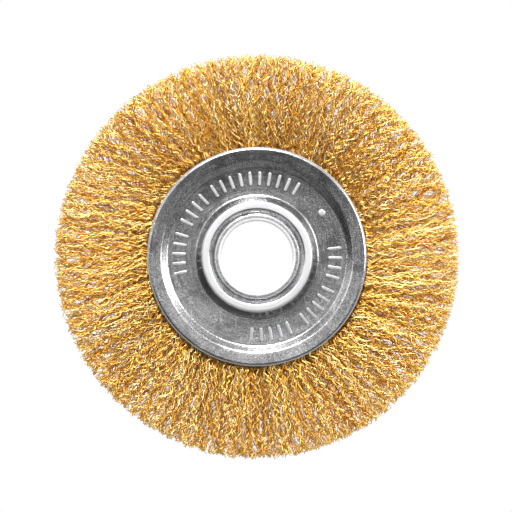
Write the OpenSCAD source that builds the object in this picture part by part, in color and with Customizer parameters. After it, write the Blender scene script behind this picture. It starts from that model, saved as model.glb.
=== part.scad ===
// Crimped wire wheel brush for a bench or angle grinder.
// Two stamped steel face plates are clamped on a ring of crimped wire by a swaged arbor sleeve.
// The wheel axis is Y, the front face looks along -Y, and the origin is the middle of the bore.

/* [Wheel] */
// Outside diameter over the wire tips
wheel_d = 125; // [105:1:150]
// Diameter of the arbor hole
bore_d = 22.2; // [19:0.1:22.4]
// Width of the brush over the wire tips
tip_width = 14; // [12:0.5:20]

/* [Face plates] */
// Outside diameter of each face plate
plate_d = 68.2; // [64:0.2:76]
// Thickness of the stamped sheet
sheet = 0.9; // [0.7:0.1:1.2]
// Height of the flat marking band's outer face above the mid-plane
band_height = 4.7; // [4.2:0.1:5.5]
// How far the outer lip stands above the marking band
lip_rise = 1.2; // [0.6:0.1:1.8]
// How far the collar's crest stands above the marking band
crest_rise = 2.3; // [1.8:0.1:2.6]
// How far the seat under the sleeve's flange stands above the marking band
seat_rise = 0.5; // [0.2:0.1:0.8]
// Radius where the collar's inner slope meets its flat crest
crest_r = 15.3; // [15.3:0.05:15.6]
// Width of the flat ring on the collar's crest
crest_width = 1.2; // [0.8:0.05:1.4]
// Radius where the marking band meets the step up to the lip
step_r = 27.5; // [27:0.1:28.5]

/* [Arbor sleeve] */
// Wall thickness of the sleeve
sleeve_wall = 0.9; // [0.7:0.1:1]
// Diameter of the sleeve's swaged flanges
flange_d = 26.4; // [25.8:0.1:26.6]
// Thickness of the swaged flanges
flange_thickness = 0.8; // [0.6:0.1:1]
// Radius of the rounded mouth of the bore
mouth_round = 0.6; // [0.4:0.1:0.8]

/* [Wire fill] */
// Number of wire bundles round the wheel
bundles = 24; // [12:1:36]
// Radius of the retaining hoop's centre line
hoop_r = 20.5; // [19.5:0.1:22]
// Diameter of the retaining hoop's wire
hoop_wire_d = 3; // [2:0.1:3.2]
// Depth of the folded wires that wrap round the inside of the hoop
fold_depth = 2.2; // [1.5:0.1:2.4]

/* [Hidden] */
$fn = 96;
bundle_names = [for (i = [1:bundles]) str("wire_bundle_", i < 10 ? "0" : "", i)];

// Clearance between pieces that lie against each other
gap = 0.05;
// Clearance between neighbouring bundles, in degrees
bundle_gap = 0.06;

// Slopes of the two formed steps, in degrees
collar_slope = 50;
lip_slope = 30;
// Tilt of the lip, whose outer edge stands a little higher, in degrees
lip_tilt = 5;
// Bend radii on the plate's outer face. A crest's bend has to be larger than the sheet is thick.
crest_inner_round = 1;
crest_outer_round = 1.1;
inner_foot_round = 0.5;
outer_foot_round = 0.9;
lip_round = 1.3;
rim_round = 1.1;
// How far the plate's rim is rolled over, in degrees
rim_roll = 52;
// Rounding of the sleeve flanges' outer edge
flange_edge_round = 0.25;

plate_hole_r = bore_d / 2 + sleeve_wall + gap;
seat_height = band_height + seat_rise;
crest_height = band_height + crest_rise;
lip_height = band_height + lip_rise;
crest_end_r = crest_r + crest_width;
rim_centre_r = plate_d / 2 - rim_round * sin(rim_roll);

// Run of an S-shaped step: two bends and the straight slope between them
function step_run(rise, slope, bend_1, bend_2) =
    (bend_1 + bend_2) * sin(slope) + (rise - (bend_1 + bend_2) * (1 - cos(slope))) / tan(slope);

// Points on an S-shaped step that climbs from [r, h], or mirrored in r when dir is -1.
// The high bend stops at the slope given by end.
function step_up(r, h, rise, slope, low_bend, high_bend, dir, end = 0) =
    let (run = step_run(rise, slope, low_bend, high_bend))
    concat(
        [for (i = [0:5]) let (a = slope * i / 5)
            [r + dir * low_bend * sin(a), h + low_bend * (1 - cos(a))]],
        [for (i = [0:5]) let (a = slope + (end - slope) * i / 5)
            [r + dir * (run - high_bend * sin(a)), h + rise - high_bend * (1 - cos(a))]]
    );

function reversed(list) = [for (i = [len(list) - 1:-1:0]) list[i]];

// The step's top ends at crest_r, so its foot is worked back from there
collar_inner_foot_r = crest_r
    - step_run(crest_height - seat_height, collar_slope, inner_foot_round, crest_inner_round);
collar_outer_foot_r = crest_end_r
    + step_run(crest_rise, collar_slope, outer_foot_round, crest_outer_round);

lip_step = step_up(step_r, band_height, lip_rise, lip_slope, lip_round, lip_round, 1, lip_tilt);
// The tilted lip runs from the end of its step to the start of the rim's bend
lip_start = lip_step[len(lip_step) - 1];
lip_end_r = rim_centre_r - rim_round * sin(lip_tilt);
lip_end_height = lip_start[1] + (lip_end_r - lip_start[0]) * tan(lip_tilt);
rim_centre_height = lip_end_height - rim_round * cos(lip_tilt);

// Outer face of the front plate as [radius, height], from the hole to the rim
face_points = concat(
    [[plate_hole_r, seat_height]],
    step_up(collar_inner_foot_r, seat_height, crest_height - seat_height,
            collar_slope, inner_foot_round, crest_inner_round, 1),
    reversed(step_up(collar_outer_foot_r, band_height, crest_rise,
                     collar_slope, outer_foot_round, crest_outer_round, -1)),
    lip_step,
    [for (i = [0:6]) let (a = -lip_tilt + (rim_roll + lip_tilt) * i / 6)
        [rim_centre_r + rim_round * sin(a), rim_centre_height + rim_round * cos(a)]]
);

function unit(v) = v / norm(v);
// Unit vector pointing into the sheet from the outer face, for a stretch that runs along v
function inward(v) = [unit(v)[1], -unit(v)[0]];
// Offset of corner i of a face line, by the mitre of its two stretches
function mitre(line, i) =
    let (before = inward(line[max(i, 1)] - line[max(i, 1) - 1]),
         after = inward(line[min(i, len(line) - 2) + 1] - line[min(i, len(line) - 2)]))
    (before + after) / (1 + before * after);

back_points = [for (i = [0:len(face_points) - 1]) face_points[i] + sheet * mitre(face_points, i)];

// Half of the sleeve's wall as [radius, height], from the bore's middle round the flange
sleeve_half = let (bore_r = bore_d / 2, under = seat_height + gap, top = under + flange_thickness)
    concat(
        [for (a = [0:15:90])
            [bore_r + mouth_round * (1 - cos(a)), top - mouth_round * (1 - sin(a))]],
        [for (a = [90:-15:0])
            [flange_d / 2 - flange_edge_round * (1 - cos(a)), top - flange_edge_round * (1 - sin(a))]],
        [[flange_d / 2, under], [bore_r + sleeve_wall, under]]
    );

// Half width of the folded wires at their inner end, and the run over which they widen
fold_half = 2.4;
fold_run = 1.3;
// Room left between the wires and the inside of the plates' step, at its foot, its top and under the lip
step_foot_room = 0.3;
step_top_room = 0.4;
lip_room = 0.1;
// How far inside the plates' edge the wires start to spread, and how far the edges pinch them
spread_inset = 0.6;
pinch_run = 1.2;
pinch = 0.35;

tunnel_r = hoop_wire_d / 2 + gap;
fill_inner_r = hoop_r - tunnel_r - fold_depth;
fill_half_band = band_height - sheet - gap;
fill_half_lip = lip_height - sheet - gap;
step_top_r = step_r + step_run(lip_rise, lip_slope, lip_round, lip_round);
spread_r = plate_d / 2 - spread_inset;
spread_half = fill_half_lip - pinch;

// Upper half of a bundle's outline as [radius, half width]
fill_half = concat(
    [
        [fill_inner_r, fold_half],
        [fill_inner_r + fold_run, fill_half_band],
        [step_r + step_foot_room, fill_half_band],
        [step_top_r + step_top_room, fill_half_lip - lip_room],
        [spread_r - pinch_run, fill_half_lip - lip_room]
    ],
    [for (t = [0:0.2:1])
        [spread_r + t * (wheel_d / 2 - spread_r), spread_half + (tip_width / 2 - spread_half) * sin(90 * t)]]
);

// Turns an upright revolve so that its axis is Y and its top faces -Y
module along_axle() {
    rotate([90, 0, 0]) children();
}

module face_plate() {
    rotate_extrude() polygon(concat(face_points, reversed(back_points)));
}

module front_face_plate() {
    color([0.62, 0.63, 0.64]) along_axle() face_plate();
}

module rear_face_plate() {
    color([0.62, 0.63, 0.64]) along_axle() mirror([0, 0, 1]) face_plate();
}

module arbor_sleeve() {
    color([0.72, 0.73, 0.74]) along_axle() rotate_extrude()
        polygon(concat(sleeve_half, [for (p = reversed(sleeve_half)) [p[0], -p[1]]]));
}

module retaining_hoop() {
    color([0.45, 0.46, 0.48]) along_axle() rotate_extrude() translate([hoop_r, 0]) circle(d = hoop_wire_d);
}

// Envelope of one share of the folded crimped wires, wrapped round the hoop
module wire_bundle(index) {
    share = 360 / bundles;
    color([0.86, 0.66, 0.32]) along_axle()
        rotate([0, 0, index * share + bundle_gap / 2])
            rotate_extrude(angle = share - bundle_gap) difference() {
                polygon(concat(fill_half, [for (p = reversed(fill_half)) [p[0], -p[1]]]));
                translate([hoop_r, 0]) circle(r = tunnel_r);
            }
}

front_face_plate();
rear_face_plate();
arbor_sleeve();
retaining_hoop();
for (i = [0:bundles - 1]) {
    wire_bundle(i);
}
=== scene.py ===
"""Crimped wire wheel brush: folded, crimped wires clamped between two stamped, zinc-plated face plates.

The wheel's axis is Y and its front face looks along -Y. Round pieces are drawn from outlines of
(radius, height), where height is the distance from the mid-plane along the axis.
"""

import math

import bpy
import numpy as np
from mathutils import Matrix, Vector


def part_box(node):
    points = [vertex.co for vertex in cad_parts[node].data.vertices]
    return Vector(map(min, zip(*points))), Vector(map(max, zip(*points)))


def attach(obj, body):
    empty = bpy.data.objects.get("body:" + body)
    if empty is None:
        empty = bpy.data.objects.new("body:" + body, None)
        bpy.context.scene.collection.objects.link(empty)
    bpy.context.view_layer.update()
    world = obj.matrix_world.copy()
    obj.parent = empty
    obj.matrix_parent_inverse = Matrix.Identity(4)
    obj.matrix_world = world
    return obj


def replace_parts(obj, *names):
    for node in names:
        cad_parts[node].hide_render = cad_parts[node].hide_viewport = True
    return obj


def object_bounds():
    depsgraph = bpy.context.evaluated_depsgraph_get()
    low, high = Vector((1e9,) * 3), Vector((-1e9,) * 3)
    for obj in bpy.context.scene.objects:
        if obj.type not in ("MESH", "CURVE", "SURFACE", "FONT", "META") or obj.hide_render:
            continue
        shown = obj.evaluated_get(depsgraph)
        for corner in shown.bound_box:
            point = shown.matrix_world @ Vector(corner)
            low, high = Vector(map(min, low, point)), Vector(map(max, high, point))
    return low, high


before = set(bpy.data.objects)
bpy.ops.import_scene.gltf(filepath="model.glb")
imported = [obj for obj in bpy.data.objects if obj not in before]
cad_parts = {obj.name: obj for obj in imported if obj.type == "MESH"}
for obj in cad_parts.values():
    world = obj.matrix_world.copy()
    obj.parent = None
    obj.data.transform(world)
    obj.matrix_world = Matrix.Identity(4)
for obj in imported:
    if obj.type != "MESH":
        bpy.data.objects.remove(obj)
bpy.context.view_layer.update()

MM = 0.001
TAU = 2 * math.pi

# ---------------------------------------------------------------- sizes, as in the CAD model

plate_low, plate_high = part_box("front_face_plate")
sleeve_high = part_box("arbor_sleeve")[1]
hoop_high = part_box("retaining_hoop")[1]
wheel_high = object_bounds()[1]

PLATE_R = plate_high.x
CREST_HEIGHT = -plate_low.y
FLANGE_R = sleeve_high.x
SLEEVE_HALF = sleeve_high.y
HOOP_WIRE_R = hoop_high.y
HOOP_R = hoop_high.x - HOOP_WIRE_R
TIP_R = wheel_high.x
TIP_HALF = wheel_high.y

SHEET = 0.9 * MM
CREST_RISE = 2.3 * MM
LIP_RISE = 1.2 * MM
SEAT_RISE = 0.5 * MM
BAND_HEIGHT = CREST_HEIGHT - CREST_RISE
SEAT_HEIGHT = BAND_HEIGHT + SEAT_RISE
LIP_HEIGHT = BAND_HEIGHT + LIP_RISE
CREST_R = 15.3 * MM
CREST_WIDTH = 1.2 * MM
STEP_R = 27.5 * MM
BORE_R = 11.1 * MM
SLEEVE_WALL = 0.9 * MM
MOUTH_ROUND = 0.6 * MM
FLANGE_THICKNESS = 0.8 * MM
FLANGE_EDGE_ROUND = 0.25 * MM
# Clearance between pieces that lie against each other
GAP = 0.05 * MM
# Slopes, tilt and roll in degrees
COLLAR_SLOPE = 50
LIP_SLOPE = 30
LIP_TILT = 5
RIM_ROLL = 52
CREST_INNER_ROUND = 1.0 * MM
CREST_OUTER_ROUND = 1.1 * MM
INNER_FOOT_ROUND = 0.5 * MM
OUTER_FOOT_ROUND = 0.9 * MM
LIP_ROUND = 1.3 * MM
RIM_ROUND = 1.1 * MM
PLATE_HOLE_R = BORE_R + SLEEVE_WALL + GAP

# ---------------------------------------------------------------- meshes

# Edges that bend by more than this many degrees stay sharp
SHARP_BEND = 38


def link(name, mesh, material):
    """A new piece that rides on the wheel."""
    piece = bpy.data.objects.new(name, mesh)
    bpy.context.scene.collection.objects.link(piece)
    mesh.materials.append(material)
    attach(piece, "root")
    return piece


def mesh_from_faces(name, points, quads, fans, smooth_fans=True):
    """A mesh from arrays: points (n, 3), quads (m, 4) and fans (k, sides) of point numbers."""
    mesh = bpy.data.meshes.new(name)
    sides = fans.shape[1]
    corners = np.concatenate([quads.ravel(), fans.ravel()])
    quad_starts = np.arange(len(quads)) * 4
    fan_starts = len(quads) * 4 + np.arange(len(fans)) * sides
    starts = np.concatenate([quad_starts, fan_starts])
    mesh.vertices.add(len(points))
    mesh.vertices.foreach_set("co", np.ascontiguousarray(points, np.float32).ravel())
    mesh.loops.add(len(corners))
    mesh.loops.foreach_set("vertex_index", corners.astype(np.int32))
    mesh.polygons.add(len(starts))
    mesh.polygons.foreach_set("loop_start", starts.astype(np.int32))
    smooth = np.ones(len(starts), bool)
    smooth[len(quads):] = smooth_fans
    mesh.polygons.foreach_set("use_smooth", smooth)
    mesh.update(calc_edges=True)
    mesh.validate()
    return mesh


def add_point_value(mesh, name, values):
    """A named value for each point of a mesh, which its material reads."""
    attribute = mesh.attributes.new(name, "FLOAT", "POINT")
    attribute.data.foreach_set("value", values.astype(np.float32))


def revolve(name, outline, segments, side=1, uneven=None):
    """A closed ring from an anticlockwise outline of (radius, height), facing -Y when side is 1."""
    outline = np.array(outline, float)
    if side < 0:
        outline = outline[::-1] * (1, -1)
    turn = np.arange(segments) * TAU / segments
    r = outline[:, :1] + 0 * turn
    height = outline[:, 1:] + 0 * turn
    if uneven is not None:
        height = height + side * uneven(r, turn[None, :])
    points = np.stack([r * np.cos(turn), -height, r * np.sin(turn)], -1).reshape(-1, 3)
    row = np.arange(len(outline))[:, None] * segments
    next_row = np.roll(row, -1, 0)
    column = np.arange(segments)[None, :]
    next_column = np.roll(column, -1, 1)
    quads = np.stack(
        [row + column, next_row + column, next_row + next_column, row + next_column], -1
    ).reshape(-1, 4)
    mesh = mesh_from_faces(name, points, quads, np.zeros((0, 3), int))
    mesh.set_sharp_from_angle(angle=math.radians(SHARP_BEND))
    return mesh


def arc(centre, radius, start, end, steps):
    """Points on an arc of an outline, from one angle to another, in degrees."""
    turn = np.radians(np.linspace(start, end, steps + 1))
    return [(centre[0] + radius * math.cos(t), centre[1] + radius * math.sin(t)) for t in turn]


def densify(points, spacing):
    """The same line with extra points, so that no stretch is longer than spacing."""
    out = [points[0]]
    for before, after in zip(points, points[1:]):
        pieces = max(1, math.ceil(math.dist(before, after) / spacing))
        for i in range(1, pieces + 1):
            share = i / pieces
            out.append(tuple(b + (a - b) * share for b, a in zip(before, after)))
    return out


# ---------------------------------------------------------------- face plates

PLATE_SEGMENTS = 420
# Spacing of the outline's points on the plate's outer and inner face
FACE_SPACING = 0.35 * MM
BACK_SPACING = 1.2 * MM
BEND_POINTS = 9
RIM_STEPS = 10
# How far the band's outer edge and the lip are pressed up, and where that starts
DISH = 0.31 * MM
DISH_START_R = 19.6 * MM
# Where the plate starts to be uneven, and the run over which that fades in
RIPPLE_START_R = 19 * MM
RIPPLE_FADE = 2 * MM
# Ripples of the pressed sheet: height, waves round the plate, share of the phase, and radians outwards
# for each mm
SHEET_RIPPLES = (
    (0.030 * MM, 2, 1.0, 0.0),
    (0.026 * MM, 3, 2.1, 1 / 4),
    (0.012 * MM, 7, -1.0, 1 / 2.2),
    (0.006 * MM, 13, 0.7, -1 / 1.6),
)
# The phase that tells the ripples of the front plate (1) from those of the rear plate (-1)
PLATE_PHASE = {1: 0.6, -1: 2.9}


def step_run(rise, slope, low_bend, high_bend):
    """Run of an S-shaped step: two bends and the straight slope between them."""
    bends = low_bend + high_bend
    angle = math.radians(slope)
    return bends * math.sin(angle) + (rise - bends * (1 - math.cos(angle))) / math.tan(angle)


def step_up(r, height, rise, slope, low_bend, high_bend, way=1, inset=0.0, end_slope=0.0):
    """Points on a step that climbs from (r, height) outwards, or inwards when way is -1."""
    run = step_run(rise, slope, low_bend, high_bend)
    low_r = low_bend + inset
    high_r = high_bend - inset
    low_height = height + low_bend
    high_height = height + rise - high_bend
    low = [
        (r + way * low_r * math.sin(a), low_height - low_r * math.cos(a))
        for a in np.radians(np.linspace(0, slope, BEND_POINTS))
    ]
    high = [
        (r + way * (run - high_r * math.sin(a)), high_height + high_r * math.cos(a))
        for a in np.radians(np.linspace(slope, end_slope, BEND_POINTS))
    ]
    return low + high


def plate_face(inset=0.0):
    """The plate's outer face from the hole to the rim, or with an inset the inner face of the sheet."""
    inner_collar = (CREST_RISE - SEAT_RISE, COLLAR_SLOPE, INNER_FOOT_ROUND, CREST_INNER_ROUND)
    outer_collar = (CREST_RISE, COLLAR_SLOPE, OUTER_FOOT_ROUND, CREST_OUTER_ROUND)
    lip = (STEP_R, BAND_HEIGHT, LIP_RISE, LIP_SLOPE, LIP_ROUND, LIP_ROUND, 1)
    inner_foot = CREST_R - step_run(*inner_collar)
    outer_foot = CREST_R + CREST_WIDTH + step_run(*outer_collar)
    inner_step = step_up(inner_foot, SEAT_HEIGHT, *inner_collar, 1, inset)
    outer_step = step_up(outer_foot, BAND_HEIGHT, *outer_collar, -1, inset)[::-1]
    lip_step = step_up(*lip, inset, LIP_TILT)
    # The tilted lip meets the rim's bend, whose centre is worked out on the outer face
    lip_start_r, lip_start_height = step_up(*lip, 0.0, LIP_TILT)[-1]
    tilt = math.radians(LIP_TILT)
    rim_r = PLATE_R - RIM_ROUND * math.sin(math.radians(RIM_ROLL))
    lip_run = rim_r - RIM_ROUND * math.sin(tilt) - lip_start_r
    rim_height = lip_start_height + lip_run * math.tan(tilt) - RIM_ROUND * math.cos(tilt)
    rim = arc((rim_r, rim_height), RIM_ROUND - inset, 90 + LIP_TILT, 90 - RIM_ROLL, RIM_STEPS)
    return [(PLATE_HOLE_R, SEAT_HEIGHT - inset)] + inner_step + outer_step + lip_step + rim


def plate_unevenness(phase):
    """The band's slight dishing and the sheet's ripples, as a height for each radius and turn."""

    def height(r, turn):
        dish = DISH * np.clip((r - DISH_START_R) / (STEP_R - DISH_START_R), 0, 1) ** 2
        ripple = sum(
            rise * np.sin(waves * turn + share * phase + outward * r / MM)
            for rise, waves, share, outward in SHEET_RIPPLES
        )
        fade = np.clip((r - RIPPLE_START_R) / RIPPLE_FADE, 0, 1)
        return fade * (ripple + dish)

    return height


def make_plate(name, node, side, material):
    """One stamped plate, with the front one facing -Y."""
    outer = densify(plate_face(), FACE_SPACING)
    inner = densify(plate_face(SHEET), BACK_SPACING)
    uneven = plate_unevenness(PLATE_PHASE[side])
    mesh = revolve(name, inner + outer[::-1], PLATE_SEGMENTS, side, uneven)
    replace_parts(link(name, mesh, material), node)


# ---------------------------------------------------------------- stamped marks

MARK_R = 24.3 * MM
MARK_LENGTH = 4.4 * MM
MARK_WIDTH = 1.0 * MM
MARK_HEIGHT = 0.26 * MM
# Angle between neighbouring marks, in degrees
MARK_PITCH = 7.0
MARK_SIDES = 28
# Outlines of a mark from its foot to its top: share of the half-width inwards, and share of the height
MARK_RINGS = ((-0.32, -0.3), (-0.1, 0.08), (0.06, 0.62), (0.22, 0.95), (0.36, 1.0), (0.6, 1.0))
# How much each outline is lightened: a painted highlight on the raised edges, and wear from handling
MARK_HIGHLIGHT_AND_WEAR = (0.0, 0.1, 0.45, 0.6, 0.6, 0.6)
# First angle and number of marks in each group round the band, anticlockwise from +X
MARK_GROUPS = [(60, 10), (133, 4), (164, 5), (266, 5), (307, 5), (345, 4)]
# The one round mark
DOT_TURN = 34
DOT_LENGTH = 2.2 * MM
DOT_WIDTH = 2.19 * MM


def pad_rings(length, width, height):
    """Outlines of a raised oval pad from its foot up to its top, as (along, across, height)."""
    half_straight = (length - width) / 2
    turn = np.linspace(0, TAU, MARK_SIDES, endpoint=False)
    # The small number keeps a point whose cosine is 0 out of the pad's middle
    end = half_straight * np.sign(np.cos(turn) + 1e-9)
    rings = []
    for inset, level in MARK_RINGS:
        radius = width / 2 * (1 - inset)
        along = end + radius * np.cos(turn)
        rings.append(np.stack([along, radius * np.sin(turn), level * height + 0 * turn], -1))
    return np.array(rings)


def place_pad(rings, degrees, side):
    """The points of a pad's outlines, moved to their place round the plate's band."""
    turn = math.radians(degrees)
    outward = np.array([math.cos(turn), math.sin(turn)])
    around = np.array([-outward[1], outward[0]])
    flat = outward * (MARK_R + rings[..., 0:1]) + around * rings[..., 1:2]
    uneven = plate_unevenness(PLATE_PHASE[side])(np.array(MARK_R), np.array(turn))
    height = BAND_HEIGHT + rings[..., 2] + uneven
    return np.stack([flat[..., 0], -side * height, flat[..., 1]], -1).reshape(-1, 3)


def make_marks(name, side, material):
    """Groups of plain raised ovals and one dot on the recessed band. They are not letters."""
    turns = [start + i * MARK_PITCH for start, count in MARK_GROUPS for i in range(count)]
    bar = pad_rings(MARK_LENGTH, MARK_WIDTH, MARK_HEIGHT)
    dot = pad_rings(DOT_LENGTH, DOT_WIDTH, MARK_HEIGHT)
    pads = [place_pad(bar, turn, side) for turn in turns] + [place_pad(dot, DOT_TURN, side)]
    pad_start = np.arange(len(pads))[:, None, None] * len(pads[0])
    row = np.arange(len(MARK_RINGS) - 1)[None, :, None] * MARK_SIDES
    column = np.arange(MARK_SIDES)
    next_column = np.roll(column, -1)
    next_row = row + MARK_SIDES
    quads = np.stack([row + column, row + next_column, next_row + next_column, next_row + column], -1)
    quads = (pad_start[..., None] + quads).reshape(-1, 4)
    top = column + (len(MARK_RINGS) - 1) * MARK_SIDES
    fans = (pad_start + np.stack([column[::-1], top])).reshape(-1, MARK_SIDES)
    if side < 0:
        quads = quads[:, ::-1]
        fans = fans[:, ::-1]
    mesh = mesh_from_faces(name, np.concatenate(pads), quads, fans)
    # Painted highlight and wear on the marks' raised outlines, for each point
    add_point_value(mesh, "highlight_and_wear", np.tile(np.repeat(MARK_HIGHLIGHT_AND_WEAR, MARK_SIDES), len(pads)))
    link(name, mesh, material)


# ---------------------------------------------------------------- sleeve and hoop

SLEEVE_SEGMENTS = 300
SLEEVE_SPACING = 1.0 * MM
# Height of the swaged sleeve's unevenness
SWAGE_RIPPLE = 0.012 * MM
HOOP_SEGMENTS = 240
HOOP_SIDES = 20


def swage_unevenness(r, turn):
    """Slight waves that swaging leaves round the sleeve."""
    return SWAGE_RIPPLE * np.sin(5 * turn + 1.0) * np.sin(11 * turn) + 0 * r


def make_sleeve(material):
    """The tube through both plates, with a rounded mouth and a swaged flange at each end."""
    under = SLEEVE_HALF - FLANGE_THICKNESS
    mouth_centre = (BORE_R + MOUTH_ROUND, SLEEVE_HALF - MOUTH_ROUND)
    edge_centre = (FLANGE_R - FLANGE_EDGE_ROUND, SLEEVE_HALF - FLANGE_EDGE_ROUND)
    mouth = arc(mouth_centre, MOUTH_ROUND, 180, 90, 10)
    edge = arc(edge_centre, FLANGE_EDGE_ROUND, 90, 0, 6)
    half = mouth + edge + [(FLANGE_R, under), (BORE_R + SLEEVE_WALL, under)]
    outline = half + [(r, -height) for r, height in half[::-1]]
    outline = densify(outline, SLEEVE_SPACING)[::-1]
    mesh = revolve("swaged_arbor_sleeve", outline, SLEEVE_SEGMENTS, 1, swage_unevenness)
    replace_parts(link("swaged_arbor_sleeve", mesh, material), "arbor_sleeve")


def make_hoop(material):
    """The wire ring inside, which every wire is folded over."""
    outline = arc((HOOP_R, 0), HOOP_WIRE_R, 0, 360, HOOP_SIDES)[:-1]
    mesh = revolve("inner_retaining_hoop", outline, HOOP_SEGMENTS)
    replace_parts(link("inner_retaining_hoop", mesh, material), "retaining_hoop")


# ---------------------------------------------------------------- crimped wires

BUNDLES = len([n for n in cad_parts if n.startswith("wire_bundle_")])
WIRES_PER_BUNDLE = 80
WIRE_R = 0.125 * MM
WIRE_SIDES = 5
# Most that a fold lies deeper than the first layer of wires on the hoop
FOLD_DEPTH = 1.75 * MM
# How far a fold reaches round the hoop to each side, in degrees
FOLD_TURN = 75
FOLD_POINTS = 7
# Points on a leg between the hoop and where it leaves the plates, and from there to its tip
CLAMPED_POINTS = 9
FREE_POINTS = 72
EXIT_R = PLATE_R - 1.0 * MM
# The tips: where they would end, their spread, their mean shortfall, and the most that they stand out
TIP_OVERHANG = 0.25 * MM
TIP_SPREAD = 0.35 * MM
TIP_SHORTFALL = 0.3 * MM
TIP_LIMIT = 0.9 * MM
# Run over which a leg settles from the hoop to its place across the brush
SETTLE_RUN = 6 * MM
# The crimp: its pitch, its reach to each side outside and inside the plates, and where it grows
CRIMP_PITCH = 3.2 * MM
CRIMP_REACH = 0.44 * MM
CLAMPED_REACH = 0.28 * MM
GROW_START_R = 26 * MM
GROW_RUN = 8 * MM
# How far the crimps of neighbours drift out of step, in radians, and over what run
CRIMP_DRIFT = 2.2
CRIMP_DRIFT_RUN = 10 * MM
# Run over which the crimp's reach varies
REACH_RUN = 9 * MM
# How far a tip strays sideways, and how far a wire wanders on its way
STRAY = 0.5 * MM
WANDER = 0.3 * MM
WANDER_RUN = 19 * MM
# Sideways lean of the wires where they leave the plates, fading towards the tips
LEAN = 0.2
# How far to each side the front and rear legs read the clumps' stray, so that they differ, in degrees
LEG_TURN = 20
# Depth below the brush's face, as a share of its half-width, from which the painted shade on the wires is
# full
SHADE_DEPTH = 0.26
# How much of that painted shade is gone at the tips, and how much wear darkens the tips themselves
SHADE_FADE = 0.8
WORN_TIPS = 0.3
BUNDLE_SEED = 9000
CLUMP_SEED = 417
BAND_HALF = BAND_HEIGHT - SHEET - GAP
LIP_HALF = LIP_HEIGHT - SHEET - GAP
SPREAD_R = PLATE_R - 0.6 * MM
SPREAD_HALF = LIP_HALF - 0.35 * MM


def fill_half(r):
    """Half the width that the wires may fill at each radius."""
    step = np.interp(r, [STEP_R + 0.3 * MM, STEP_R + 3.1 * MM], [BAND_HALF, LIP_HALF - 0.1 * MM])
    share = np.clip((r - SPREAD_R) / (TIP_R - SPREAD_R), 0, 1)
    spread = SPREAD_HALF + (TIP_HALF - SPREAD_HALF) * np.sin(share * math.pi / 2)
    return np.where(r < SPREAD_R, np.minimum(step, SPREAD_HALF + 0.2 * MM), spread)


def smooth_field(rng, step_degrees, spread):
    """A random value that wanders smoothly round the wheel, as a function of the turn in degrees."""
    knots = int(360 / step_degrees)
    values = rng.normal(0, spread, knots)
    values = np.append(values, values[0])
    return lambda turn: np.interp(np.mod(turn, 360), np.linspace(0, 360, knots + 1), values)


def drifting_field(rng, step_degrees, run, spread):
    """A random value that wanders round the wheel and outwards, from turns in degrees and radii."""
    ripples = 28
    around = np.round(rng.uniform(0.5, 1.5, ripples) * 360 / step_degrees)
    around = around * rng.choice([-1, 1], ripples)
    outwards = rng.uniform(0.4, 1.4, ripples) * TAU / run
    start = rng.uniform(0, TAU, ripples)

    def value(turn, r):
        waves = zip(around, outwards, start)
        total = sum(np.sin(np.radians(a * turn) + o * r + s) for a, o, s in waves)
        return spread * math.sqrt(2 / ripples) * total

    return value


def slow_wave(rng, distance, run):
    """A sine along each wire, with a random start for each."""
    return np.sin(TAU * distance / run + rng.uniform(0, TAU, (len(distance), 1)))


def leg_radii(rng, wires):
    """The radius at each point of the legs, from the hoop out to their uneven tips."""
    clamped = np.linspace(0, 1, CLAMPED_POINTS + 1)[:-1]
    free = np.linspace(0, 1, FREE_POINTS)
    tip_r = TIP_R + TIP_OVERHANG + rng.normal(0, TIP_SPREAD, wires)
    tip_r = tip_r - rng.exponential(TIP_SHORTFALL, wires)
    tip_r = np.minimum(tip_r, TIP_R + TIP_LIMIT)[:, None]
    inside = np.tile(HOOP_R + (EXIT_R - HOOP_R) * clamped, (wires, 1))
    outside = EXIT_R + (tip_r - EXIT_R) * free
    return np.concatenate([inside, outside], 1)


def crimp(rng, turn, side, place, r, out, clump):
    """The crimp's sway to each side, and the share of it that fits across the brush.

    Neighbours nearly nest, and drift out of step towards the tips.
    """
    wires = len(turn)
    pitch = CRIMP_PITCH * (1 + clump["pitch"](turn) + rng.normal(0, 0.06, wires))
    phase = clump["phase"](turn + side * 0.6) + 0.5 * place + rng.normal(0, 0.2, wires)
    drift = CRIMP_DRIFT * slow_wave(rng, r, CRIMP_DRIFT_RUN) * np.clip(out * 4, 0, 1)
    wave_turn = TAU * (r - PLATE_R) / pitch[:, None] + phase[:, None] + drift
    # The third harmonic sharpens the bends
    wave = np.sin(wave_turn) - 0.08 * np.sin(3 * wave_turn)
    grow = np.clip((r - GROW_START_R) / GROW_RUN, 0, 1)
    free_reach = CRIMP_REACH * rng.uniform(0.8, 1.2, (wires, 1))
    reach = CLAMPED_REACH + (free_reach - CLAMPED_REACH) * grow
    reach = reach * (1 - 0.15 * out) * (1 + 0.3 * out * slow_wave(rng, r, REACH_RUN))
    # Between the plates there is less room across the brush than along it
    room = 0.35 + 0.65 * grow
    return reach * wave, room


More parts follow.
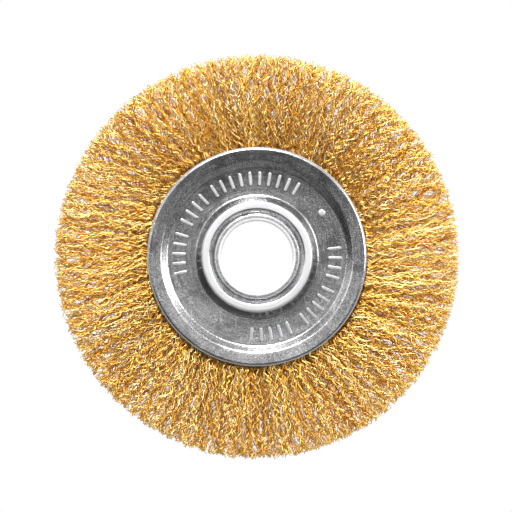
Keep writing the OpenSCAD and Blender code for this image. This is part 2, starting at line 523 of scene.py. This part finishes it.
def leg(rng, turn, side, reach, clump):
    """One leg of each wire from the hoop outwards: radius, height and sideways offset at each point."""
    wires = len(turn)
    r = leg_radii(rng, wires)
    out = np.clip((r - EXIT_R) / (TIP_R - EXIT_R), 0, 1)
    # Where each wire lies across the brush's width, from one face to the other
    place = side * (0.97 - 1.15 * rng.random(wires) ** 1.1)
    settle = np.clip((r - HOOP_R) / SETTLE_RUN, 0, 1)
    settle = settle * settle * (3 - 2 * settle)
    settled = place[:, None] * (fill_half(r) - 1.2 * WIRE_R)
    height = side * reach[:, None] * (1 - settle) + settled * settle
    sway, room = crimp(rng, turn, side, place, r, out, clump)
    # The plane of the crimp turns from wire to wire, and more so towards the tips
    plane = clump["plane"](turn) + rng.normal(0, 0.2, wires)
    plane = plane[:, None] + rng.normal(0, 0.6, (wires, 1)) * out
    clumped = clump["stray"](turn[:, None] + side * LEG_TURN, r) * out
    stray = rng.normal(0, STRAY, wires)[:, None] * out**1.2
    wander = rng.normal(0, WANDER, (wires, 1)) * slow_wave(rng, r - EXIT_R, WANDER_RUN)
    lean = LEAN * (TIP_R - EXIT_R) * (out - out * out / 2 - 0.25)
    sideways = sway * np.cos(plane) + clumped + stray + wander * np.clip(out * 5, 0, 1) + lean
    height = height + sway * np.sin(plane) * room
    limit = fill_half(r) - 1.1 * WIRE_R
    return r, np.clip(height, -limit, limit), sideways


def depth_shade_and_tip_wear(lines):
    """Painted shade on the wires, most deep inside the brush by the plates, and a little darkening from
    wear at the tips.
    """
    r = np.hypot(lines[..., 0], lines[..., 2])
    out = np.clip((r - PLATE_R) / (TIP_R - PLATE_R), 0, 1)
    depth = 1 - np.abs(lines[..., 1]) / fill_half(r)
    deep = np.clip(depth / SHADE_DEPTH, 0, 1) * (1 - SHADE_FADE * out)
    return deep + WORN_TIPS * np.clip(2 * out - 1, 0, 1)


def wire_lines(rng, first_turn, share, clump, wires):
    """Centre lines of one bundle's wires: out along one leg, round the hoop and out along the other."""
    turn = first_turn + share * (np.arange(wires) + rng.uniform(0.1, 0.9, wires)) / wires
    layer = rng.random(wires) ** 0.8 * FOLD_DEPTH
    reach = HOOP_WIRE_R + WIRE_R + GAP + layer
    front_r, front_height, front_side = leg(rng, turn, 1, reach, clump)
    rear_r, rear_height, rear_side = leg(rng, turn, -1, reach, clump)
    bend = np.radians(np.linspace(FOLD_TURN, -FOLD_TURN, FOLD_POINTS))[None, :]
    fold_r = HOOP_R - reach[:, None] * np.cos(bend)
    fold_height = reach[:, None] * np.sin(bend)
    blend = np.linspace(0, 1, FOLD_POINTS + 2)[None, 1:-1]
    fold_side = front_side[:, :1] * (1 - blend) + rear_side[:, :1] * blend
    r = np.concatenate([front_r[:, ::-1], fold_r, rear_r], 1)
    height = np.concatenate([front_height[:, ::-1], fold_height, rear_height], 1)
    sideways = np.concatenate([front_side[:, ::-1], fold_side, rear_side], 1)
    angle = np.radians(turn)[:, None] + sideways / np.maximum(r, HOOP_R)
    lines = np.stack([r * np.cos(angle), -height, r * np.sin(angle)], -1)
    around = np.stack([-np.sin(angle), np.zeros_like(angle), np.cos(angle)], -1)
    return lines, around


def unit(vectors):
    return vectors / np.linalg.norm(vectors, axis=-1, keepdims=True)


def tube_mesh(name, lines, around, radius, sides):
    """Round tubes with flat ends along many lines at once."""
    along = unit(np.gradient(lines, axis=1))
    across = unit(around - along * (around * along).sum(-1, keepdims=True))
    third = np.cross(along, across)
    turn = np.arange(sides)[:, None] * TAU / sides
    ring = across[:, :, None] * np.cos(turn) + third[:, :, None] * np.sin(turn)
    points = (lines[:, :, None] + radius[:, None, None, None] * ring).reshape(-1, 3)
    count, length = lines.shape[:2]
    tube = np.arange(count)[:, None, None] * length * sides
    row = tube + np.arange(length - 1)[None, :, None] * sides
    next_row = row + sides
    column = np.arange(sides)
    next_column = np.roll(column, -1)
    quads = np.stack(
        [row + column, row + next_column, next_row + next_column, next_row + column], -1
    ).reshape(-1, 4)
    first = tube[:, 0] + column
    fans = np.concatenate([first[:, ::-1], first + (length - 1) * sides])
    return mesh_from_faces(name, points, quads, fans, smooth_fans=False)


def make_bundle(index, clump, material):
    """One bundle of separately drawn wires, each with its own tone."""
    rng = np.random.default_rng(BUNDLE_SEED + index)
    share = 360 / BUNDLES
    lines, around = wire_lines(rng, index * share, share, clump, WIRES_PER_BUNDLE)
    radius = WIRE_R * rng.uniform(0.95, 1.05, WIRES_PER_BUNDLE)
    name = f"crimped_wires_{index + 1:02d}"
    mesh = tube_mesh(name, lines, around, radius, WIRE_SIDES)
    tone = np.clip(rng.normal(0.5, 0.3, WIRES_PER_BUNDLE), 0, 1)
    add_point_value(mesh, "tone", np.repeat(tone, lines.shape[1] * WIRE_SIDES))
    # Painted shade deep in the brush, and darkening from wear at the tips, for each point
    add_point_value(mesh, "shade_and_wear", np.repeat(depth_shade_and_tip_wear(lines), WIRE_SIDES))
    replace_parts(link(name, mesh, material), f"wire_bundle_{index + 1:02d}")


def make_clumps():
    """How the wires hold together in clumps: values that wander round the wheel."""
    rng = np.random.default_rng(CLUMP_SEED)
    return {
        "phase": smooth_field(rng, 4.5, 1.7),
        "plane": smooth_field(rng, 3.0, 0.2),
        "pitch": smooth_field(rng, 1.8, 0.17),
        "stray": drifting_field(rng, 3.6, 10 * MM, 0.85 * MM),
    }


# ---------------------------------------------------------------- materials


class Nodes:
    """Short calls for building a node tree."""

    def __init__(self, tree):
        self.tree = tree

    def add(self, kind, **settings):
        node = self.tree.nodes.new(kind)
        for key, value in settings.items():
            setattr(node, key, value)
        return node

    def fill(self, socket, value):
        """Links a socket to another node's output, or sets it to a plain value."""
        if isinstance(value, bpy.types.NodeSocket):
            self.tree.links.new(value, socket)
        else:
            socket.default_value = value

    def feed(self, node, **inputs):
        """Fills a node's inputs. A key is the socket's name with _ for spaces, or inN."""
        for key, value in inputs.items():
            number = key.removeprefix("in")
            place = int(number) if number.isdigit() else key.replace("_", " ")
            self.fill(node.inputs[place], value)
        return node.outputs[0]

    def maths(self, operation, *values, clamp=False):
        node = self.add("ShaderNodeMath", operation=operation, use_clamp=clamp)
        return self.feed(node, **{f"in{i}": v for i, v in enumerate(values)})

    def total(self, first, *others):
        """The sum of several values."""
        for other in others:
            first = self.maths("ADD", first, other)
        return first

    def vector(self, operation, *values):
        node = self.add("ShaderNodeVectorMath", operation=operation)
        self.feed(node, **{f"in{i}": v for i, v in enumerate(values)})
        return node.outputs["Value" if operation in ("LENGTH", "DOT_PRODUCT") else "Vector"]

    def parts(self, vector):
        """The X, Y and Z of a vector."""
        node = self.add("ShaderNodeSeparateXYZ")
        self.feed(node, Vector=vector)
        return node.outputs[0], node.outputs[1], node.outputs[2]

    def place(self):
        return self.add("ShaderNodeTexCoord").outputs["Object"]

    def point_value(self, name):
        """A value that the mesh holds for each point, or 0 where it holds none."""
        return self.add("ShaderNodeAttribute", attribute_name=name).outputs["Fac"]

    def noise(self, vector, scale, detail=3.0, roughness=0.5, distortion=0.0):
        node = self.add("ShaderNodeTexNoise")
        return self.feed(
            node, Vector=vector, Scale=scale, Detail=detail, Roughness=roughness, Distortion=distortion
        )

    def remap(self, value, low, high, to_low=0.0, to_high=1.0):
        """A soft step: to_low below low, to_high above high, and smooth between them."""
        node = self.add("ShaderNodeMapRange", interpolation_type="SMOOTHSTEP")
        return self.feed(
            node, Value=value, From_Min=low, From_Max=high, To_Min=to_low, To_Max=to_high
        )

    def mix(self, factor, a, b):
        """Colour a where the factor is 0 and colour b where it is 1."""
        node = self.add("ShaderNodeMix", data_type="RGBA")
        # 0 is the factor's socket, and 6 and 7 are those of the colours
        for number, value in ((0, factor), (6, a), (7, b)):
            self.fill(node.inputs[number], value)
        return node.outputs[2]


def grey(value):
    return (value, value, value * 1.01, 1)


def new_material(name):
    material = bpy.data.materials.new(name)
    material.use_nodes = True
    return material, Nodes(material.node_tree), material.node_tree.nodes["Principled BSDF"]


# Rings, from one radius to another in millimetres, that are lightened by painted highlights and burnish,
# or darkened in the groove
FLANGE_EDGE_RING = (12.75, 13.4)
MOUTH_RING = (11.0, 12.05)
INNER_SLOPE_RING = (13.4, 14.5)
CREST_RING = (15.05, 17.1)
GROOVE_RING = (17.5, 19.0)
RIM_START = (PLATE_R / MM - 0.5, PLATE_R / MM - 0.2)


def radius_in_mm(n, place):
    """Distance from the wheel's axis, in millimetres."""
    flat = n.vector("MULTIPLY", place, (1 / MM, 0, 1 / MM))
    return n.vector("LENGTH", flat)


def ring_mask(n, radius, ring, soft, strength=1.0):
    """The strength inside a ring and 0 outside it, with soft edges."""
    start, end = ring
    rise = n.remap(radius, start - soft, start + soft)
    fall = n.remap(radius, end - soft, end + soft, strength, 0.0)
    return n.maths("MULTIPLY", rise, fall)


def scratches(n, place, turn, scale, thin):
    """Fine straight scratches in one direction, as a mask."""
    stretch = n.add("ShaderNodeMapping")
    stretched = n.feed(stretch, Vector=place, Rotation=(0, turn, 0), Scale=(scale, scale, scale * 0.045))
    lines = n.noise(stretched, 1.0, 2.0, 0.5, 0.35)
    near = n.maths("ABSOLUTE", n.maths("SUBTRACT", lines, 0.56))
    return n.remap(near, 0.0, thin, 1.0, 0.0)


def crossing_scratches(n, place):
    """Scratches in two directions, in patches."""
    one_way = scratches(n, place, 0.5, 900.0, 0.012)
    other_way = scratches(n, place, 2.3, 1300.0, 0.009)
    patches = n.remap(n.noise(place, 300.0, 2.0), 0.42, 0.6)
    return n.maths("MULTIPLY", n.maths("MAXIMUM", one_way, other_way), patches)


def turned_rings(n, place, radius):
    """Noise drawn out into faint rings, each fading in and out along its way."""
    outward = n.vector("NORMALIZE", n.vector("MULTIPLY", place, (1, 0, 1)))
    around = n.vector("MULTIPLY", outward, (2.2, 2.2, 2.2))
    from_axle = n.vector("MULTIPLY", (0, 1, 0), radius)
    return n.noise(n.vector("ADD", around, from_axle), 1.0, 4.0, 0.65)


def zinc_tone(n, place, radius, clouds, speckle, tint):
    """The mottled greys of satin zinc: clouds, turned rings, fine speckle, scratches and stains."""
    tone = n.mix(n.remap(clouds, 0.32, 0.7), grey(0.22 * tint), grey(0.56 * tint))
    rings = turned_rings(n, place, radius)
    tone = n.mix(n.remap(rings, 0.42, 0.66, 0.0, 0.4), tone, grey(0.8))
    tone = n.mix(n.remap(rings, 0.28, 0.44, 0.4, 0.0), tone, grey(0.1))
    tone = n.mix(n.remap(speckle, 0.52, 0.7, 0.0, 0.95), tone, grey(0.95))
    tone = n.mix(n.remap(speckle, 0.3, 0.46, 0.85, 0.0), tone, grey(0.08))
    tone = n.mix(n.maths("MULTIPLY", crossing_scratches(n, place), 0.8), tone, grey(0.95))
    stains = n.noise(place, 130.0, 4.0, 0.65)
    return n.mix(n.remap(stains, 0.5, 0.64, 0.0, 0.4), tone, grey(0.13))


def zinc_material(name, tint, crest_shine, mouth_shine, roughness):
    """Satin zinc plating: a painted highlight and burnish on the crest and the marks, a painted highlight
    on the lighter, matt mouth and flange edge, a darker groove, and a matt rim.
    """
    material, n, shader = new_material(name)
    place = n.place()
    radius = radius_in_mm(n, place)
    clouds = n.noise(place, 260.0, 5.0, 0.62, 0.4)
    speckle = n.noise(place, 3600.0, 2.0, 0.6)
    # Painted highlight, with burnish, on the crest, the inner slope and the marks' raised outlines:
    # lighter, less metallic and rougher
    crest = ring_mask(n, radius, CREST_RING, 0.15, crest_shine)
    inner_slope = ring_mask(n, radius, INNER_SLOPE_RING, 0.2, 0.15 * crest_shine)
    highlight_and_burnish = n.maths("MAXIMUM", n.point_value("highlight_and_wear"), n.maths("MAXIMUM", crest, inner_slope))
    # The groove at the collar's foot is darker
    groove_darkening = ring_mask(n, radius, GROOVE_RING, 0.35, 0.6 * crest_shine)
    # Painted highlight on the bore's mouth and the flange's edge, which are also lighter and matt
    bore_mouth_highlight = ring_mask(n, radius, MOUTH_RING, 0.08, mouth_shine)
    flange_edge_highlight = ring_mask(n, radius, FLANGE_EDGE_RING, 0.1, 0.45 * mouth_shine)
    mouth = n.maths("MAXIMUM", bore_mouth_highlight, flange_edge_highlight)
    rim = n.remap(radius, *RIM_START)
    tone = zinc_tone(n, place, radius, clouds, speckle, tint)
    # A darker groove, painted highlight with burnish, painted highlight on the mouth and flange edge,
    # then the matt rim
    tone = n.mix(groove_darkening, tone, grey(0.12))
    tone = n.mix(highlight_and_burnish, tone, grey(0.52))
    tone = n.mix(mouth, tone, grey(0.6))
    tone = n.mix(rim, tone, grey(0.32))
    matt = n.maths("MAXIMUM", n.maths("MULTIPLY", rim, 0.8), n.maths("MULTIPLY", mouth, 0.7))
    metal = n.maths("MULTIPLY_ADD", highlight_and_burnish, -0.3, 1.0)
    rough = n.remap(clouds, 0.3, 0.72, roughness + 0.06, roughness - 0.04)
    relief = n.maths("ADD", n.maths("MULTIPLY", speckle, 0.5), n.maths("MULTIPLY", clouds, 0.9))
    bump = n.add("ShaderNodeBump")
    n.feed(
        shader,
        Base_Color=tone,
        Metallic=n.maths("SUBTRACT", metal, matt, clamp=True),
        Roughness=n.mix(highlight_and_burnish, rough, grey(0.42)),
        Normal=n.feed(bump, Strength=0.5, Distance=0.12 * MM, Height=relief),
    )
    return material


def hoop_material():
    """Plain drawn steel wire."""
    material, n, shader = new_material("drawn_steel")
    clouds = n.noise(n.place(), 300.0, 4.0, 0.6)
    n.feed(
        shader,
        Base_Color=n.mix(clouds, grey(0.25), grey(0.5)),
        Metallic=1.0,
        Roughness=n.remap(clouds, 0.3, 0.7, 0.3, 0.45),
    )
    return material


DARK_BRASS = (0.60, 0.27, 0.025, 1)
BRASS = (0.96, 0.61, 0.11, 1)
PALE_BRASS = (1.0, 0.84, 0.40, 1)
# Colour of the painted shade deep in the brush and of wear at the tips
SHADED_AND_WORN_BRASS = (0.44, 0.17, 0.012, 1)


def brass_material():
    """Bright brass-coated wire: each wire has its own tone, with faint blotches, and painted shade that
    darkens it with depth.
    """
    material, n, shader = new_material("crimped_brass")
    blotch = n.noise(n.place(), 420.0, 3.0, 0.6)
    shade = n.maths("ADD", n.point_value("tone"), n.remap(blotch, 0.3, 0.7, -0.18, 0.18))
    ramp = n.add("ShaderNodeValToRGB")
    stops = ramp.color_ramp.elements
    stops[0].position = 0.08
    stops[0].color = DARK_BRASS
    stops[1].position = 0.95
    stops[1].color = PALE_BRASS
    stops.new(0.5).color = BRASS
    bright = n.feed(ramp, Fac=shade)
    # Painted shade deep in the brush, and darkening from wear at the tips, mixed into the brass
    shade_and_wear = n.maths("MULTIPLY", n.point_value("shade_and_wear"), 0.52)
    n.feed(
        shader,
        Base_Color=n.mix(shade_and_wear, bright, SHADED_AND_WORN_BRASS),
        Metallic=1.0,
        Roughness=0.34,
        Coat_Weight=0.2,
        Coat_Roughness=0.25,
    )
    return material


def floor_material():
    material, n, shader = new_material("pale_floor")
    cloud = n.noise(n.place(), 1.5, 2.0)
    n.feed(
        shader,
        Base_Color=n.mix(cloud, (0.9, 0.9, 0.9, 1), (0.94, 0.94, 0.94, 1)),
        Roughness=0.9,
        Emission_Color=(1, 1, 1, 1),
        Emission_Strength=0.35,
    )
    return material


# ---------------------------------------------------------------- studio

# Soft round patches of light: direction, inner and outer half-angle in degrees, and strength
PANELS = (
    ((0, -0.3, 1), 10, 50, 0.1),
    ((0, 1, 0), 65, 92, 0.9),
    ((-0.55, -0.8, 0.12), 9, 17, 1.1),
    ((0.55, -0.8, 0.12), 9, 17, 1.1),
)
FLOOR_R = 6.0
FLOOR_HEIGHT = -0.8
# Width of the view at the wheel in metres, and the long lens and its sensor in millimetres
VIEW_WIDTH = 0.1595
LENS = 250.0
SENSOR = 36.0
# How far the camera stands off the wheel's axis
CAMERA_SIDE = -0.3 * MM
CAMERA_UP = 0.2 * MM
# How far in front of the mid-plane the view has that width
VIEW_FORWARD = 3 * MM


def panel(n, direction, towards, inner, outer, strength):
    """A soft round patch of light in one direction, with its half-angles in degrees."""
    facing = n.vector("DOT_PRODUCT", direction, tuple(Vector(towards).normalized()))
    edge = math.cos(math.radians(outer))
    middle = math.cos(math.radians(inner))
    return n.remap(facing, edge, middle, 0.0, strength)


def make_world():
    """A white sweep behind the wheel, soft light from above, and a dark side below.

    The right is a little brighter than the left, two panels beside the camera light the wheel's
    face, a bright ring lies near the wheel's own plane, and light comes back faintly from the
    floor. The camera sees plain white.
    """
    world = bpy.data.worlds.new("studio")
    world.use_nodes = True
    bpy.context.scene.world = world
    n = Nodes(world.node_tree)
    direction = n.add("ShaderNodeTexCoord").outputs["Generated"]
    across, along, up = n.parts(direction)
    light = n.total(
        n.remap(up, -0.07, 0.2, 0.05, 0.95),
        n.remap(up, 0.45, 0.8, 0.0, -0.55),
        n.remap(up, -0.5, -0.28, 0.18, 0.0),
        n.maths("MULTIPLY", across, 0.16),
        n.remap(n.maths("ABSOLUTE", along), 0.15, 0.36, 0.65, 0.0),
        *[panel(n, direction, *values) for values in PANELS],
    )
    light = n.maths("MAXIMUM", light, 0.03)
    seen = n.add("ShaderNodeLightPath").outputs["Is Camera Ray"]
    n.feed(world.node_tree.nodes["Background"], Color=n.mix(seen, light, (1, 1, 1, 1)), Strength=1.0)


def make_lamp(name, place, size, power):
    """A round lamp that faces the wheel."""
    data = bpy.data.lights.new(name, "AREA")
    data.shape = "DISK"
    data.size = size
    data.energy = power
    lamp = bpy.data.objects.new(name, data)
    lamp.location = place
    lamp.rotation_euler = (-Vector(place)).to_track_quat("-Z", "Y").to_euler()
    bpy.context.scene.collection.objects.link(lamp)


def make_floor(material):
    """A plain pale floor well below the wheel, which its reflections don't show."""
    bpy.ops.mesh.primitive_circle_add(
        vertices=96, radius=FLOOR_R, fill_type="NGON", location=(0, 0, FLOOR_HEIGHT)
    )
    floor = bpy.context.object
    floor.name = "floor"
    floor.data.materials.append(material)
    floor.visible_glossy = False
    floor.visible_diffuse = False


def make_camera():
    """A long lens looking straight along the axle, a hair off centre as in the reference view."""
    data = bpy.data.cameras.new("camera")
    data.lens = LENS
    data.sensor_width = SENSOR
    data.clip_start = 0.01
    data.clip_end = 50
    camera = bpy.data.objects.new("camera", data)
    distance = VIEW_WIDTH * LENS / SENSOR
    camera.location = (CAMERA_SIDE, -distance - VIEW_FORWARD, CAMERA_UP)
    camera.rotation_euler = (math.radians(90), 0, 0)
    bpy.context.scene.collection.objects.link(camera)
    bpy.context.scene.camera = camera


# ---------------------------------------------------------------- build

make_camera()
make_world()
make_lamp("key", (-0.05, -0.7, 0.5), 0.16, 11.5)
make_lamp("fill", (0.6, -0.6, 0.15), 0.3, 2.5)
make_floor(floor_material())

plate_zinc = zinc_material("zinc_plate", 1.02, 1.0, 0.0, 0.21)
sleeve_zinc = zinc_material("zinc_sleeve", 1.25, 0.0, 1.0, 0.28)
brass = brass_material()

make_plate("front_plate", "front_face_plate", 1, plate_zinc)
make_plate("rear_plate", "rear_face_plate", -1, plate_zinc)
make_marks("front_plate_marks", 1, plate_zinc)
make_marks("rear_plate_marks", -1, plate_zinc)
make_sleeve(sleeve_zinc)
make_hoop(hoop_material())

clumps = make_clumps()
for number in range(BUNDLES):
    make_bundle(number, clumps, brass)

view = bpy.context.scene.view_settings
view.view_transform = "Standard"
view.look = "None"
